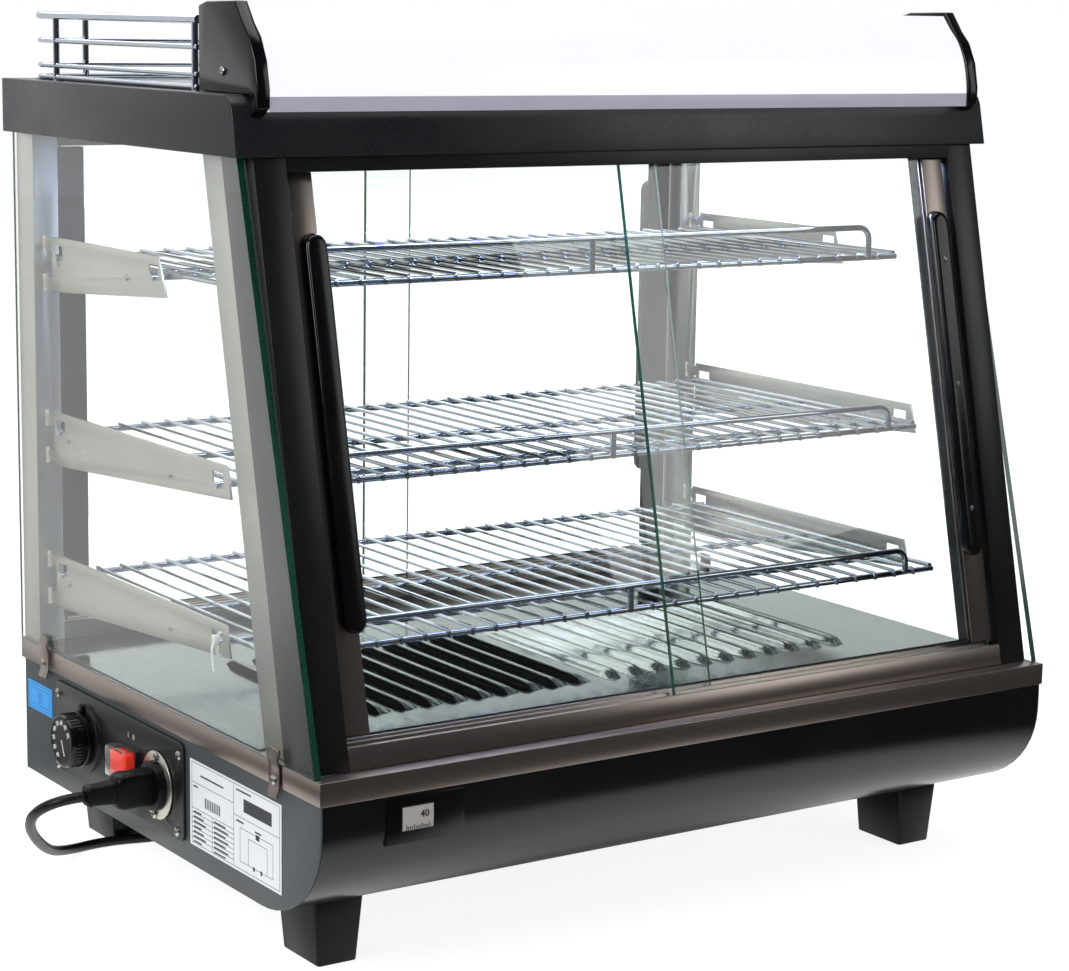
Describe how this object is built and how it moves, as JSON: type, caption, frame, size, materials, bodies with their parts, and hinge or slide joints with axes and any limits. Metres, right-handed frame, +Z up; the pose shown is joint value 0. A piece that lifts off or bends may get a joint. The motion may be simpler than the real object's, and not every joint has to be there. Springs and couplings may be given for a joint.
{
  "type": "hot food display case",
  "caption": "Countertop heated display case with a slanted front, sliding glass doors, wire shelves, a lit sign, a guard rail round its roof, side controls and a detachable cord.",
  "frame": {"origin": "on the counter, under the middle of the case's footprint, measured without the cord", "axes": "+X to the right seen from the front, -Y towards the front with the slanted doors, +Z up"},
  "size_m": [0.7635, 0.4958, 0.6736],
  "materials": {
    "black_paint": "semi-gloss black enamel",
    "grey_paint": "fine-textured grey powder coat",
    "stainless": "brushed",
    "bright_steel": "bright rolled",
    "chrome": "polished plating",
    "glass": "clear, greenish edge",
    "black_plastic": "gloss black",
    "acrylic": "opal white, lit from behind",
    "red_plastic": "translucent red",
    "rubber": "matt",
    "lamp": "frosted LED cover"
  },
  "bodies": {
    "cabinet": {"side_panel_left": "grey_paint", "side_panel_right": "grey_paint", "base_pan": "grey_paint", "roof_housing": "grey_paint", "front_apron": "black_paint", "front_post_left": "black_paint", "front_post_right": "black_paint", "front_track_upper": "black_paint", "rear_track_upper": "black_paint", "sign_housing": "black_paint", "control_plate": "black_paint", "rim_frame": "stainless", "front_track_lower": "stainless", "rear_track_lower": "stainless", "deck_tray": "bright_steel", "ceiling_liner": "bright_steel", "rear_upright_left": "bright_steel", "rear_upright_right": "bright_steel", "power_inlet": "bright_steel", "glass_clip_front_left": "bright_steel", "glass_clip_front_right": "bright_steel", "glass_clip_rear_left": "bright_steel", "glass_clip_rear_right": "bright_steel", "bracket_lower_left": "bright_steel", "bracket_lower_right": "bright_steel", "bracket_middle_left": "bright_steel", "bracket_middle_right": "bright_steel", "bracket_upper_left": "bright_steel", "bracket_upper_right": "bright_steel", "guard_rail": "chrome", "shelf_lower": "chrome", "shelf_middle": "chrome", "shelf_upper": "chrome", "side_glass_left": "glass", "side_glass_right": "glass", "foot_front_left": "black_plastic", "foot_front_right": "black_plastic", "foot_rear_left": "black_plastic", "foot_rear_right": "black_plastic", "cord_connector": "black_plastic", "mains_plug": "black_plastic", "thermometer": "black_plastic", "sign_cap_left": "black_plastic", "sign_cap_right": "black_plastic", "sign_panel": "acrylic", "power_cord": "rubber", "cord_coil": "rubber", "lamp_strip": "lamp"},
    "front_door_left": {"front_door_left_glass": "glass", "front_door_left_profile": "stainless", "front_door_left_handle": "black_plastic"},
    "front_door_right": {"front_door_right_glass": "glass", "front_door_right_profile": "stainless", "front_door_right_handle": "black_plastic"},
    "rear_door_left": {"rear_door_left_glass": "glass", "rear_door_left_handle": "black_plastic"},
    "rear_door_right": {"rear_door_right_glass": "glass", "rear_door_right_handle": "black_plastic"},
    "knob": {"thermostat_knob": "black_plastic"},
    "rocker": {"switch_rocker": "red_plastic"}
  },
  "joints": [
    {"name": "front_door_left_slide", "type": "slide", "parent": "cabinet", "child": "front_door_left", "axis": [1, 0, 0], "range_m": [0, 0.245]},
    {"name": "front_door_right_slide", "type": "slide", "parent": "cabinet", "child": "front_door_right", "axis": [1, 0, 0], "range_m": [-0.245, 0]},
    {"name": "rear_door_left_slide", "type": "slide", "parent": "cabinet", "child": "rear_door_left", "axis": [1, 0, 0], "range_m": [0, 0.245]},
    {"name": "rear_door_right_slide", "type": "slide", "parent": "cabinet", "child": "rear_door_right", "axis": [1, 0, 0], "range_m": [-0.245, 0]},
    {"name": "thermostat_knob_turn", "type": "hinge", "parent": "cabinet", "child": "knob", "pos_m": [-0.32465, 0.12165, 0.1053], "axis": [1, 0, 0], "range_deg": [0, 270]},
    {"name": "switch_rocker_tilt", "type": "hinge", "parent": "cabinet", "child": "rocker", "pos_m": [-0.32465, 0.04145, 0.106], "axis": [0, 0, 1], "range_deg": [-16, 0]}
  ]
}
